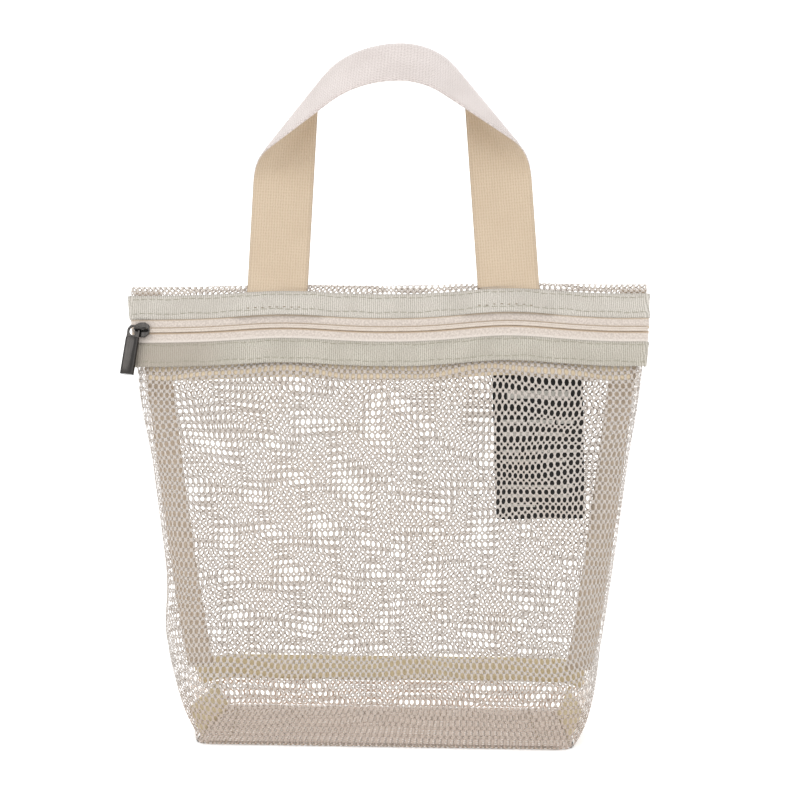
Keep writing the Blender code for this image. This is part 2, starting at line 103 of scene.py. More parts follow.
def half_width(z):
    up = np.maximum(z, 0.0)
    flare = FLARE_WIDTH * (1.0 - np.exp(-up / FLARE_HEIGHT))
    return BASE_HALF_WIDTH + flare + TOP_SPREAD * (up / BODY_HEIGHT) ** SPREAD_POWER


def half_depth(z):
    t = z / BODY_HEIGHT
    return BASE_HALF_DEPTH * (1.0 - t) + TOP_HALF_DEPTH * t + BELLY * np.sin(math.pi * t)


def corner_radius(z):
    full = np.minimum(half_depth(z), BASE_CORNER + CORNER_GROWTH * z)
    return full * (1.0 - (1.0 - TOP_CORNER_SHARE) * smooth(z, TOP_CORNER_FROM, TOP_CORNER_TO))


def section(s, z, offset):
    """x and depth of a wall: s is 0 in the middle and -1 or 1 at the side seams."""
    s, z, offset = np.broadcast_arrays(*(np.asarray(v, float) for v in (s, z, offset)))
    width, depth, radius = half_width(z), half_depth(z), corner_radius(z)
    flat, flank = width - radius, depth - radius - SEAM_GAP
    short = np.arcsin(np.clip(SEAM_GAP / (radius - NET), -1.0, 1.0))
    turn = np.where(flank < 0.0, 0.5 * math.pi - short, 0.5 * math.pi)
    flank = np.maximum(flank, 0.0)
    run = np.abs(s) * (flat + radius * turn + flank)
    angle = np.clip((run - flat) / radius, 0.0, turn)
    beyond = np.maximum(run - flat - radius * turn, 0.0)
    x = np.minimum(run, flat) + (radius + offset) * np.sin(angle)
    y = depth - radius + (radius + offset) * np.cos(angle) - beyond
    return np.copysign(x, s), y


def half_girth(z):
    width, depth, radius = half_width(z), half_depth(z), corner_radius(z)
    return width + depth - (2.0 - 0.5 * math.pi) * radius


# How the cloth is pulled about: the handle lifts the zip band at its two legs

# The right end of the band, above the zip, is this much further in than the CAD model's
BAND_END_TAKEN_IN = 0.0022
LIFTS = ((-0.0600, 0.0026, 0.036), (0.0690, 0.0036, 0.036))


def band_wave(x):
    lift = sum(height * np.exp(-(((x - at) / wide) ** 2)) for at, height, wide in LIFTS)
    ends = smooth(np.abs(x), 0.115, 0.138)
    return lift * (1.0 - ends)


def drape(points):
    """Moves points on the bag as its cloth is pulled and creased."""
    x, y, z = points[..., 0], points[..., 1], points[..., 2]
    share = smooth(z, 0.175, 0.207) * (1.0 - 0.62 * smooth(z, 0.2460, 0.2555))
    front = smooth(-y, -0.0035, 0.0010)
    moved = points.copy()
    moved[..., 2] = z + band_wave(x) * share * (0.35 + 0.65 * front)
    left = smooth(-x / half_width(z), 0.35, 1.0)
    bulge = 0.0062 * np.exp(-(((z - 0.052) / 0.024) ** 2)) - 0.0030 * np.exp(-((z / 0.014) ** 2))
    taken_in = BAND_END_TAKEN_IN * smooth(x, 0.10, 0.15) * smooth(z, 0.228, 0.245)
    moved[..., 0] = x - taken_in - left * bulge * smooth(z, 0.0, 0.006)
    low = 1.0 - smooth(z, 0.02, 0.10)
    high = smooth(z, 0.19, 0.23)
    middle = 1.0 - np.maximum(low, high)
    side = np.sign(y)
    ripple = 0.0011 * np.sin(31.0 * x + 17.0 * z) + 0.0008 * np.sin(67.0 * x - 41.0 * z + 1.3)
    ripple = ripple + 0.0012 * np.sin(23.0 * z + 9.0 * x + 0.7)
    # The front wall stands out a little where the swung tag reaches it
    tag_room = 0.0018 * np.exp(-(((x - 0.106) / 0.030) ** 2) - ((z - 0.126) / 0.030) ** 2)
    ripple = ripple + tag_room * (side < 0)
    near_side = smooth(np.abs(x) - 0.11, 0.0, 0.02)
    moved[..., 1] = y + side * ripple * middle * (1.0 - near_side) * smooth(np.abs(y), 0.004, 0.02)
    return moved


# Mesh helpers

def placed(name, data):
    made = bpy.data.objects.new(name, data)
    bpy.context.scene.collection.objects.link(made)
    return made


def new_object(name, points, faces, finishes, uv=None, slots=None, smoothed=True):
    mesh = bpy.data.meshes.new(name)
    mesh.from_pydata(np.asarray(points, float).reshape(-1, 3).tolist(), [], faces)
    for finish in finishes:
        mesh.materials.append(finish)
    if uv is not None:
        corners = np.empty(len(mesh.loops), np.int32)
        mesh.loops.foreach_get("vertex_index", corners)
        layer = mesh.uv_layers.new(name="cloth")
        layer.data.foreach_set("uv", np.asarray(uv, np.float32).reshape(-1, 2)[corners].ravel())
    if slots is not None:
        mesh.polygons.foreach_set("material_index", np.asarray(slots, np.int32))
    if smoothed:
        mesh.shade_smooth()
    mesh.update()
    return placed(name, mesh)


def finish_piece(made, body, slot, *nodes):
    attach(made, body)
    if nodes:
        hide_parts(*nodes)
    return made


def thick_sheet(name, middle, normals, thickness, finishes, uv, edge=0.45, flip=False, two_faced=False):
    """A closed sheet around a grid of points, thinner and rounded at its long and short edges."""
    rows, columns = middle.shape[:2]
    half = np.full((rows, columns), 0.5 * thickness)
    half[0, :] *= edge
    half[-1, :] *= edge
    half[:, 0] *= edge
    half[:, -1] *= edge
    out = middle + normals * half[..., None]
    back = middle - normals * half[..., None]
    index = np.arange(rows * columns).reshape(rows, columns)
    other = index + rows * columns
    faces, slots = [], []

    def add(a, b, c, d, material):
        quad = (int(a), int(b), int(c), int(d))
        faces.append(quad[::-1] if flip else quad)
        slots.append(material)

    for i in range(rows - 1):
        for j in range(columns - 1):
            add(index[i, j], index[i, j + 1], index[i + 1, j + 1], index[i + 1, j], 0)
            add(other[i, j], other[i + 1, j], other[i + 1, j + 1], other[i, j + 1], 1 if two_faced else 0)
    for j in range(columns - 1):
        add(index[0, j], other[0, j], other[0, j + 1], index[0, j + 1], 0)
        add(index[-1, j], index[-1, j + 1], other[-1, j + 1], other[-1, j], 0)
    for i in range(rows - 1):
        add(index[i, 0], index[i + 1, 0], other[i + 1, 0], other[i, 0], 0)
        add(index[i, -1], other[i, -1], other[i + 1, -1], index[i + 1, -1], 0)
    points = np.concatenate([out.reshape(-1, 3), back.reshape(-1, 3)])
    coords = np.concatenate([uv.reshape(-1, 2), uv.reshape(-1, 2)])
    return new_object(name, points, faces, finishes, coords, slots)


def tube_faces(rings, sides, start):
    """Faces of a closed tube whose rings of points follow each other."""
    faces = []
    for i in range(rings - 1):
        for k in range(sides):
            a, b = start + i * sides + k, start + i * sides + (k + 1) % sides
            faces.append((a, b, b + sides, a + sides))
    last = start + (rings - 1) * sides
    faces.append(tuple(start + k for k in reversed(range(sides))))
    faces.append(tuple(last + k for k in range(sides)))
    return faces


def grid_normals(grid):
    """Unit normals of a grid of points: along the columns crossed with along the rows."""
    along = np.gradient(grid, axis=1)
    across = np.gradient(grid, axis=0)
    normals = np.cross(along, across)
    return normals / np.linalg.norm(normals, axis=-1, keepdims=True)


# Materials

def linear(display):
    """A colour of 0 to 255 display values as the renderer's linear values."""
    values = [v / 255.0 for v in display]
    return tuple(v / 12.92 if v <= 0.04045 else ((v + 0.055) / 1.055) ** 2.4 for v in values)


class Finish:
    """A node material that is built up step by step around one Principled shader."""

    def __init__(self, name, roughness, **constants):
        self.material = bpy.data.materials.new(name)
        self.material.use_nodes = True
        self.tree = self.material.node_tree
        self.shader = self.tree.nodes["Principled BSDF"]
        self.shader.inputs["Roughness"].default_value = roughness
        for socket, value in constants.items():
            self.shader.inputs[socket.replace("_", " ")].default_value = value

    def node(self, kind, **settings):
        made = self.tree.nodes.new(kind)
        for key, value in settings.items():
            setattr(made, key, value)
        return made

    def link(self, source, target):
        self.tree.links.new(source, target)

    def object_coords(self):
        return self.node("ShaderNodeTexCoord").outputs["Object"]

    def cloth_coords(self):
        return self.node("ShaderNodeUVMap", uv_map="cloth").outputs["UV"]

    def scaled(self, vector, scale):
        made = self.node("ShaderNodeVectorMath", operation="MULTIPLY")
        self.link(vector, made.inputs[0])
        made.inputs[1].default_value = scale
        return made.outputs["Vector"]

    def noise(self, vector, scale, detail=2.0):
        made = self.node("ShaderNodeTexNoise")
        self.link(vector, made.inputs["Vector"])
        made.inputs["Scale"].default_value = scale
        made.inputs["Detail"].default_value = detail
        return made.outputs["Fac"]

    def maths(self, operation, *values):
        made = self.node("ShaderNodeMath", operation=operation)
        for socket, value in zip(made.inputs, values):
            if isinstance(value, (int, float)):
                socket.default_value = value
            else:
                self.link(value, socket)
        return made.outputs[0]

    def part(self, vector, axis):
        made = self.node("ShaderNodeSeparateXYZ")
        self.link(vector, made.inputs[0])
        return made.outputs[axis]

    def wave(self, coordinate, pitch):
        """A sine of the coordinate with that pitch, from 0 to 1."""
        turns = self.maths("MULTIPLY_ADD", coordinate, 2.0 * math.pi / pitch, 0.0)
        return self.maths("MULTIPLY_ADD", self.maths("SINE", turns), 0.5, 0.5)

    def ramp(self, value, low, high, start=0.0, end=1.0):
        made = self.node("ShaderNodeMapRange", interpolation_type="SMOOTHSTEP")
        self.link(value, made.inputs["Value"])
        for socket, number in zip(("From Min", "From Max", "To Min", "To Max"), (low, high, start, end)):
            made.inputs[socket].default_value = number
        return made.outputs["Result"]

    def mix(self, factor, first, second):
        """Two colours mixed; a tuple is a colour of 0 to 255 display values."""
        made = self.node("ShaderNodeMix", data_type="RGBA", blend_type="MIX")
        colours = [s for s in made.inputs if s.type == "RGBA"]
        self.link(factor, made.inputs[0])
        for socket, value in zip(colours, (first, second)):
            if isinstance(value, tuple):
                socket.default_value = (*linear(value), 1.0)
            else:
                self.link(value, socket)
        return next(s for s in made.outputs if s.type == "RGBA")

    def colour(self, value):
        self.link(value, self.shader.inputs["Base Color"])

    def bump(self, height, strength, distance):
        made = self.node("ShaderNodeBump")
        made.inputs["Strength"].default_value = strength
        made.inputs["Distance"].default_value = distance
        self.link(height, made.inputs["Height"])
        self.link(made.outputs["Normal"], self.shader.inputs["Normal"])


def net_finish(name, light, dark, stain, low):
    """Knitted yarn, a little uneven in tone, with painted shade that makes it a little darker and browner
    towards the floor of the bag.
    """
    made = Finish(name, 0.55, Sheen_Weight=0.15, Sheen_Roughness=0.5)
    at = made.object_coords()
    strands = made.noise(made.scaled(at, (1.0, 1.0, 0.45)), 2600.0, 1.0)
    patches = made.noise(at, 28.0, 3.0)
    yarn = made.mix(made.ramp(strands, 0.35, 0.65), dark, light)
    yarn = made.mix(made.ramp(patches, 0.3, 0.7, 0.0, 0.35), yarn, stain)
    # Painted shade: towards the floor the yarn turns to the low colour, darker and browner.
    made.colour(made.mix(made.ramp(made.part(at, 2), 0.012, 0.034, 0.85, 0.0), yarn, low))
    made.bump(strands, 0.15, 0.00008)
    return made.material


def grosgrain_finish(name, light, dark, shaded=None):
    """Ribbed tape: ribs run across its width, and a fine weft crosses them."""
    made = Finish(name, 0.7, Sheen_Weight=0.2, Sheen_Roughness=0.5)
    cloth = made.cloth_coords()
    u, v = made.part(cloth, 0), made.part(cloth, 1)
    stray = made.maths("MULTIPLY", made.noise(cloth, 420.0, 2.0), 0.0009)
    rib = made.wave(made.maths("ADD", u, stray), 0.00118)
    weft = made.wave(made.maths("ADD", v, stray), 0.00052)
    patches = made.noise(cloth, 60.0, 3.0)
    speckle = made.noise(cloth, 1500.0, 2.0)
    height = made.maths("MULTIPLY_ADD", weft, 0.3, rib)
    tone = made.maths("MULTIPLY_ADD", speckle, 1.1, made.maths("MULTIPLY", rib, 0.5))
    cloth_colour = made.mix(made.ramp(tone, 0.45, 1.05), dark, light)
    if shaded:
        start, end, colour = shaded
        edge = made.maths("ADD", u, made.maths("MULTIPLY", patches, 0.02))
        cloth_colour = made.mix(made.ramp(edge, start, end, 0.62, 0.0), cloth_colour, colour)
    made.colour(made.mix(made.ramp(patches, 0.35, 0.7, 0.0, 0.3), cloth_colour, dark))
    made.bump(height, 0.7, 0.00022)
    return made.material


def binding_finish(name, light, dark):
    made = Finish(name, 0.8, Sheen_Weight=0.15)
    cloth = made.cloth_coords()
    warp = made.wave(made.part(cloth, 0), 0.0006)
    weft = made.wave(made.part(cloth, 1), 0.0006)
    weave = made.maths("MULTIPLY", warp, weft)
    patches = made.noise(cloth, 90.0, 3.0)
    tone = made.mix(made.ramp(weave, 0.0, 0.6), dark, light)
    made.colour(made.mix(made.ramp(patches, 0.35, 0.7, 0.0, 0.4), tone, dark))
    made.bump(weave, 0.5, 0.0001)
    return made.material


def zip_cloth_finish():
    """Fine knitted tape, with tan lines of painted shade in the grooves beside the coils, and a tan painted
    shadow where its upper edge goes under the grosgrain and is sewn.
    """
    made = Finish("zip_cloth", 0.65, Sheen_Weight=0.25, Sheen_Roughness=0.5)
    cloth = made.cloth_coords()
    u, v = made.part(cloth, 0), made.part(cloth, 1)
    knit = made.wave(u, 0.0005)
    lines = made.wave(v, 0.0009)
    speckle = made.noise(cloth, 900.0, 2.0)
    tone = made.mix(made.ramp(speckle, 0.35, 0.65), (184, 173, 164), (204, 194, 185))
    from_coil = made.maths("ABSOLUTE", v)
    # Painted shade: a tan line in the groove on each side of the coils.
    groove_painted_shade = made.ramp(from_coil, 0.0016, 0.0024, 0.9, 0.0)
    # Painted shadow: tan where the upper edge goes in under the upper grosgrain.
    outer = made.ramp(v, 0.0054, 0.0064, 0.0, 0.8)
    selvage = made.ramp(v, -0.0064, -0.0050, 0.7, 0.0)
    tone = made.mix(groove_painted_shade, tone, (178, 156, 130))
    tone = made.mix(selvage, tone, (222, 214, 206))
    made.colour(made.mix(outer, tone, (190, 172, 148)))
    made.bump(made.maths("MULTIPLY_ADD", lines, 0.4, knit), 0.3, 0.00008)
    return made.material


def webbing_finish(name, light, dark, slope):
    """Heavy webbing: ribs along the strap, crossed by the rows of the weave."""
    made = Finish(name, 0.75, Sheen_Weight=0.3, Sheen_Roughness=0.5)
    cloth = made.cloth_coords()
    u, v = made.part(cloth, 0), made.part(cloth, 1)
    stray = made.maths("MULTIPLY", made.noise(cloth, 260.0, 2.0), 0.0008)
    zigzag = made.maths("MULTIPLY", made.wave(u, 0.0034), slope)
    rows = made.wave(made.maths("ADD", u, stray), 0.0017)
    ends = made.wave(made.maths("ADD", made.maths("ADD", v, zigzag), stray), 0.0015)
    weave = made.maths("MULTIPLY_ADD", rows, 0.3, made.maths("MULTIPLY", ends, 0.7))
    speckle = made.noise(cloth, 1300.0, 2.0)
    patches = made.noise(cloth, 45.0, 3.0)
    tone = made.maths("MULTIPLY_ADD", speckle, 0.8, made.maths("MULTIPLY", weave, 0.45))
    made.colour(
        made.mix(
            made.ramp(patches, 0.3, 0.75, 0.0, 0.3),
            made.mix(made.ramp(tone, 0.25, 0.85), dark, light),
            dark,
        )
    )
    made.bump(weave, 0.6, 0.0003)
    return made.material


def speckled_finish(name, roughness, speckle, tones, grain=None, stretch=None, **constants):
    """Two tones in a noise; grain is a finer noise's scale, strength and depth."""
    made = Finish(name, roughness, **constants)
    at = made.object_coords()
    made.colour(made.mix(made.noise(at, *speckle), *tones))
    if grain:
        scale, strength, depth = grain
        along = made.scaled(at, stretch) if stretch else at
        made.bump(made.noise(along, scale, 1.0), strength, depth)
    return made.material


def metal_finish():
    """Dark plated zinc with fine wear along it."""
    made = Finish("gunmetal", 0.24, Metallic=1.0, Coat_Weight=0.4, Coat_Roughness=0.12)
    at = made.object_coords()
    scratches = made.noise(made.scaled(at, (1.0, 1.0, 0.06)), 1600.0, 3.0)
    patches = made.noise(at, 260.0, 3.0)
    made.colour(made.mix(patches, (44, 42, 41), (66, 63, 61)))
    made.link(made.ramp(scratches, 0.3, 0.75, 0.16, 0.34), made.shader.inputs["Roughness"])
    made.bump(scratches, 0.08, 0.00004)
    return made.material


def card_finish():
    made = Finish("black_card", 0.55, Specular_IOR_Level=0.4)
    at = made.object_coords()
    fibres = made.noise(at, 900.0, 4.0)
    made.colour(made.mix(made.ramp(fibres, 0.3, 0.7), (19, 18, 17), (33, 32, 31)))
    made.bump(fibres, 0.2, 0.00005)
    return made.material


# Net

NET_PITCH = (0.0034, 0.00495)
HOLE_HALF_WIDTH, HOLE_HALF_HEIGHT = 0.00121, 0.00175
SMALL_HOLE = (0.00074, 0.00088)
YARN_RISE = 0.00022


def net_mesh(columns, rows, place, pitch, flip, start=0, yarn=YARN_RISE, opened=1.0):
    """Points and faces of a net whose yarn is closed and rounded.

    place(u, v, out) takes cell coordinates and a distance out of the cloth. Each cell has one
    oval hole in its middle and a quarter of a small hole at each corner.
    """
    wide, high = opened * HOLE_HALF_WIDTH / pitch[0], opened * HOLE_HALF_HEIGHT / pitch[1]
    cut_x, cut_y = SMALL_HOLE[0] / pitch[0], SMALL_HOLE[1] / pitch[1]
    chunks, total = [], [start]

    def layer(u, v, out):
        u, v, out = np.broadcast_arrays(u, v, out)
        points = place(u.ravel(), v.ravel(), out.ravel())
        index = total[0] + np.arange(u.size).reshape(u.shape)
        chunks.append(points)
        total[0] += u.size
        return index

    cell_u, cell_v = np.meshgrid(np.arange(columns) + 0.5, np.arange(rows) + 0.5)
    hole = []
    for k in range(8):
        angle = 0.25 * math.pi * k
        hole.append(layer(cell_u + wide * math.cos(angle), cell_v + high * math.sin(angle), 0.0))

    def yarn_middles(u, v, on_edge, ahead_u, ahead_v):
        """Both faces of the yarn between cells, and the points ahead of it and behind it."""
        rise = np.where(on_edge, 0.0, yarn)
        near, far = layer(u, v, rise), layer(u, v, -rise)
        far[on_edge] = near[on_edge]
        ahead, behind = layer(u + ahead_u, v + ahead_v, 0.0), layer(u - ahead_u, v - ahead_v, 0.0)
        return {1: near, -1: far}, ahead, behind

    u, v = np.meshgrid(np.arange(columns + 1.0), np.arange(rows) + 0.5)
    upright, upright_top, upright_low = yarn_middles(u, v, (u == 0) | (u == columns), 0.0, 0.5 - cut_y)
    u, v = np.meshgrid(np.arange(columns) + 0.5, np.arange(rows + 1.0))
    level, level_right, level_left = yarn_middles(u, v, (v == 0) | (v == rows), 0.5 - cut_x, 0.0)

    faces = []
    for side in (1, -1):
        # What surrounds each hole, anticlockwise from the yarn on its right
        rim = [
            upright[side][:, 1:], upright_top[:, 1:], level_right[1:, :],
            level[side][1:, :], level_left[1:, :], upright_top[:, :-1],
            upright[side][:, :-1], upright_low[:, :-1], level_left[:-1, :],
            level[side][:-1, :], level_right[:-1, :], upright_low[:, 1:],
        ]
        groups = []
        for quarter in range(4):
            a, b, c = (hole[(2 * quarter + k) % 8] for k in range(3))
            p, q, r, t = (rim[(3 * quarter + k) % 12] for k in range(4))
            groups += [(a, p, q, b), (b, q, r), (b, r, t, c)]
        for group in groups:
            stacked = np.stack([g.ravel() for g in group], axis=1)
            if (side < 0) != flip:
                stacked = stacked[:, ::-1]
            faces.extend(map(tuple, stacked.tolist()))
    return np.concatenate(chunks), faces


def finish_net(name, points, faces, finish, node):
    """The net as a piece, without the points that no face uses."""
    used = np.zeros(len(points), bool)
    for face in faces:
        used[list(face)] = True
    new_index = np.cumsum(used) - 1
    faces = [tuple(int(new_index[i]) for i in face) for face in faces]
    made = new_object(name, points[used], faces, [finish], smoothed=False)
    return finish_piece(made, "bag", "net", node)


GIRTH_COLUMNS, FRONT_ROWS = 88, 44
BACK_COLUMNS, BACK_ROWS = 92, 54
BACK_HALF_GIRTH = 0.149


def warped(u, v, columns, rows, seed):
    """Cell coordinates pulled about by up to a cell, and left alone at the net's edges."""
    a, b = u / columns, v / rows
    hold = smooth(np.minimum(a, 1.0 - a), 0.0, 0.12) * smooth(np.minimum(b, 1.0 - b), 0.0, 0.08)
    along = 0.22 * np.sin(13.0 * a + 9.0 * b + seed) + 0.16 * np.sin(41.0 * a - 23.0 * b + 2.0 * seed)
    up = 0.30 * np.sin(15.0 * a - 11.0 * b + 3.0 * seed) + 0.16 * np.sin(37.0 * a + 29.0 * b + seed)
    return u + hold * along, v + hold * up


def build_front_net(finish):
    low = NET + SEAM_GAP

    def place(u, v, out):
        u, v = warped(u, v, GIRTH_COLUMNS, FRONT_ROWS, 0.4)
        s = -1.0 + 2.0 * u / GIRTH_COLUMNS
        z = low + (FRONT_TOP - low) * v / FRONT_ROWS
        x, y = section(s, z, out - 0.5 * NET)
        return drape(np.stack([x, -y, z], axis=1))

    points, faces = net_mesh(GIRTH_COLUMNS, FRONT_ROWS, place, NET_PITCH, False)
    return finish_net("front_net", points, faces, finish, "front_panel")


def build_back_net(finish):
    """The back wall's net, which folds over the top and comes down the front to the upper tape."""
    crest = BODY_HEIGHT - TOP_HALF_DEPTH
    wall = crest - BOTTOM_SEAM_HEIGHT
    turn_length = math.pi * float(half_depth(crest))
    length = wall + turn_length + crest - FOLD_END

    def place(u, v, out):
        u, v = warped(u, v, BACK_COLUMNS, BACK_ROWS, 2.1)
        s = -1.0 + 2.0 * u / BACK_COLUMNS
        s = (s - 0.006 * np.tanh(s / 0.020)) / 0.994
        run = length * v / BACK_ROWS
        down = np.maximum(run - wall - turn_length, 0.0)
        z = np.where(run < wall, BOTTOM_SEAM_HEIGHT + run, crest - down)
        turn = np.clip((run - wall) / turn_length, 0.0, 1.0) * math.pi
        x, y = section(s, z, out - 0.5 * NET)
        return drape(np.stack([x, y * np.cos(turn), z + y * np.sin(turn)], axis=1))

    pitch = (2.0 * BACK_HALF_GIRTH / BACK_COLUMNS, length / BACK_ROWS)
    points, faces = net_mesh(BACK_COLUMNS, BACK_ROWS, place, pitch, True)
    return finish_net("back_net", points, faces, finish, "back_panel")


def build_base_net(finish):
    """The floor's net and the strip of it that turns up the back to the bottom seam."""
    across, deep = 61, 27
    pitch = (2.0 * BASE_HALF_WIDTH / across, 2.0 * BASE_HALF_DEPTH / deep)

    def floor(u, v, out):
        y = -BASE_HALF_DEPTH + 2.0 * BASE_HALF_DEPTH * v / deep
        inside = np.maximum(np.abs(y) - (BASE_HALF_DEPTH - BASE_CORNER), 0.0)
        reach = BASE_HALF_WIDTH - BASE_CORNER + np.sqrt(np.maximum(BASE_CORNER**2 - inside**2, 0.0))
        x = reach * (-1.0 + 2.0 * u / across)
        return np.stack([x, y, 0.00042 + out], axis=1)

    rows = 5

    def upturn(u, v, out):
        s = -1.0 + 2.0 * u / GIRTH_COLUMNS
        z = NET + (BOTTOM_SEAM_HEIGHT - SEAM_GAP - NET) * v / rows
        x, y = section(s, z, out - 0.5 * NET)
        return drape(np.stack([x, y, z], axis=1))

    floor_points, floor_faces = net_mesh(across, deep, floor, pitch, False, yarn=0.00040, opened=0.6)
    more_points, more_faces = net_mesh(GIRTH_COLUMNS, rows, upturn, NET_PITCH, True, len(floor_points))
    points = np.concatenate([floor_points, more_points])
    return finish_net("base_net", points, floor_faces + more_faces, finish, "base_panel")


# Tapes and bindings

def wall_strip(low, high, offset, columns, rows, reach=1.0, side=-1, rise=None):
    """A grid of points on a wall, its outward normals and its cloth coordinates."""
    s = np.linspace(-reach, reach, columns)
    v = np.linspace(0.0, 1.0, rows)
    s, v = np.meshgrid(s, v)
    z = low + (high - low) * v
    lift = rise(section(s, z, 0.0)[0]) if rise else 0.0
    x, y = section(s, z, offset + lift)
    grid = drape(np.stack([x, side * y, z], axis=-1))
    normals = -side * grid_normals(grid)
    uv = np.stack([s * half_girth(z), z], axis=-1)
    return grid, normals, uv


LEG_X = (-0.0635, 0.0693)


def tape_rise(x):
    """How the upper tape stands out over the two ends of the webbing."""
    height, flat, ramp = WEBBING + 0.0003, 0.0175 + 0.003, 0.009
    over = [1.0 - smooth(np.abs(x - leg), flat, flat + ramp) for leg in LEG_X]
    return height * np.maximum(*over)


def build_tape(name, low, high, offset, thickness, finish, slot, node, **options):
    middle = offset + 0.5 * thickness
    grid, normals, uv = wall_strip(low, high, middle, 260, 9, **options)
    made = thick_sheet(name, grid, normals, thickness, [finish], uv, flip=options.get("side", -1) > 0)
    return finish_piece(made, "bag", slot, node)


SIDE_TAPE_WIDTH = 0.015
CORNER_TAPE_LOW = 0.0025


def inner_tape(kind, side, places, cloth, axis, facing, thickness, finish):
    """A folded tape inside one side of the bag; its normals lie along one axis."""
    grid = np.stack(np.broadcast_arrays(*places), axis=-1)
    normals = np.zeros_like(grid)
    normals[..., axis] = facing
    uv = np.stack(np.broadcast_arrays(*cloth), axis=-1)
    end = "left" if side < 0 else "right"
    made = thick_sheet(f"{kind}_tape_{end}", grid, normals, thickness, [finish], uv, edge=0.6, flip=side < 0)
    return finish_piece(made, "bag", "binding", f"{kind}_binding_{end}")


def build_side_binding(side, finish):
    """A folded tape over the side seam's allowance, standing in from the seam."""
    z = np.linspace(0.0340, 0.2515, 60)[:, None]
    share = np.linspace(0.0, 1.0, 9)[None, :]
    x = side * (half_width(z) - 0.0022 - SIDE_TAPE_WIDTH * share)
    sway = 0.0012 * np.sin(36.0 * z + (0.5 if side < 0 else 2.0)) * share * (1.0 - smooth(z, 0.19, 0.23))
    return inner_tape("side", side, (x, sway, z), (SIDE_TAPE_WIDTH * share, z), 1, -1.0, 0.0014, finish)


def build_corner_binding(side, finish):
    """A folded tape over the seam that closes one bottom corner."""
    z = np.linspace(CORNER_TAPE_LOW, 0.0170, 7)[:, None]
    y = np.linspace(-0.0345, 0.0335, 30)[None, :]
    clear = 0.0060 + 0.0012 * np.sin(80.0 * y) + 0.06 * (z - CORNER_TAPE_LOW)
    x = side * (half_width(z) - clear)
    return inner_tape("corner", side, (x, y, z), (z, y), 0, side, 0.0013, finish)


# Stitches

CAPSULE = ((-0.5, 0.25), (-0.36, 0.85), (0.0, 1.0), (0.36, 0.85), (0.5, 0.25))
SIDES = 6
ON_TAPE = TAPE_OFFSET + TAPE + 0.0001


def stitch_parts(centres, alongs, normals, length, radius, start):
    """Small rounded lengths of thread, lying half sunk in the cloth."""
    points, faces = [], []
    total = start
    for centre, along, normal in zip(centres, alongs, normals):
        along = along / np.linalg.norm(along)
        normal = normal / np.linalg.norm(normal)
        across = np.cross(along, normal)
        for share, fat in CAPSULE:
            for k in range(SIDES):
                angle = 2.0 * math.pi * k / SIDES
                ring = across * math.cos(angle) + 0.7 * normal * math.sin(angle)
                points.append(centre + along * share * length + ring * radius * fat)
        faces += tube_faces(len(CAPSULE), SIDES, total)
        total += len(CAPSULE) * SIDES
    return points, faces


def row_on_wall(z, pitch, rise=None):
    """Places of stitches along the front wall at one height."""
    reach, wobble = 0.985, 0.0003
    girth = float(half_girth(np.array(z)))
    count = int(2.0 * reach * girth / pitch)
    s = np.linspace(-reach, reach, count)
    height = z + wobble * np.sin(s * 40.0) + RANDOM.normal(0.0, 0.00006, count)
    step = 0.4 * pitch / girth

    def at(shifted):
        lift = rise(section(shifted, height, 0.0)[0]) if rise else 0.0
        x, y = section(shifted, height, ON_TAPE + lift)
        return drape(np.stack([x, -y, height], axis=1))

    along = at(s + step) - at(s - step)
    return at(s), along, np.cross(along, np.array([0.0, 0.0, 1.0]))


def build_stitching(name, rows, length, radius, finish, slot):
    points, faces = [], []
    for centres, alongs, normals in rows:
        more_points, more_faces = stitch_parts(centres, alongs, normals, length, radius, len(points))
        points += more_points
        faces += more_faces
    made = new_object(name, points, faces, [finish])
    return finish_piece(made, "bag", slot)


# Handle

def arch_lean(lean):
    rise = math.cos(ARCH_TILT)
    turn = 0.6
    for _ in range(40):
        turn = math.asin(rise * (1.0 - math.cos(turn) * math.sin(lean)) / math.cos(lean))
    return turn


def webbing_point(length, across, side):
    """A point of the webbing's middle layer and its normal; length runs from the arch's middle."""
    turn = arch_lean(LEG_LEAN[side])
    half = ARCH_HALF_LENGTH[side]
    radius = half / turn
    cross = Vector((0.0, math.cos(ARCH_TILT), math.sin(ARCH_TILT)))
    crown = Vector((0.0, -math.sin(ARCH_TILT), math.cos(ARCH_TILT)))

    def arch(run):
        angle = min(run, half) / radius
        out = Vector((math.cos(angle), 0.0, 0.0)) - crown * math.sin(angle)
        at = Vector((math.sin(angle), 0.0, 0.0)) * radius - crown * radius * (1.0 - math.cos(angle))
        return at + out * max(0.0, run - half), out

    start, along = arch(half + FOLD_CLEAR)
    face = along.cross(cross)
    crease = Vector((-face.z, 0.0, face.x)).normalized()
    onward = (along - crease * along.dot(crease)).normalized()
    folded = math.acos(face.y)
    at, heading = arch(length)
    point = at + cross * across
    normal = heading.cross(cross)
    past = (point - start).dot(onward) if length > half else -1.0
    if past > 0.0:
        slid = (point - start).dot(crease)
        angle = min(past / FOLD_RADIUS, folded)
        normal = face * math.cos(angle) + onward * math.sin(angle)
        ahead = onward * math.cos(angle) - face * math.sin(angle)
        beyond = max(0.0, past - FOLD_RADIUS * folded)
        point = start + (normal - face) * FOLD_RADIUS + ahead * beyond + crease * slid
    placed = Vector((side * point.x + HANDLE_CENTRE, point.y, point.z + ARCH_TOP))
    return placed, Vector((side * normal.x, normal.y, normal.z))


def leg_length(side):
    low, high = 0.10, 0.30
    for _ in range(40):
        middle = 0.5 * (low + high)
        if webbing_point(middle, 0.0, side)[0].z > HINGE_HEIGHT:
            low = middle
        else:
            high = middle
    return low


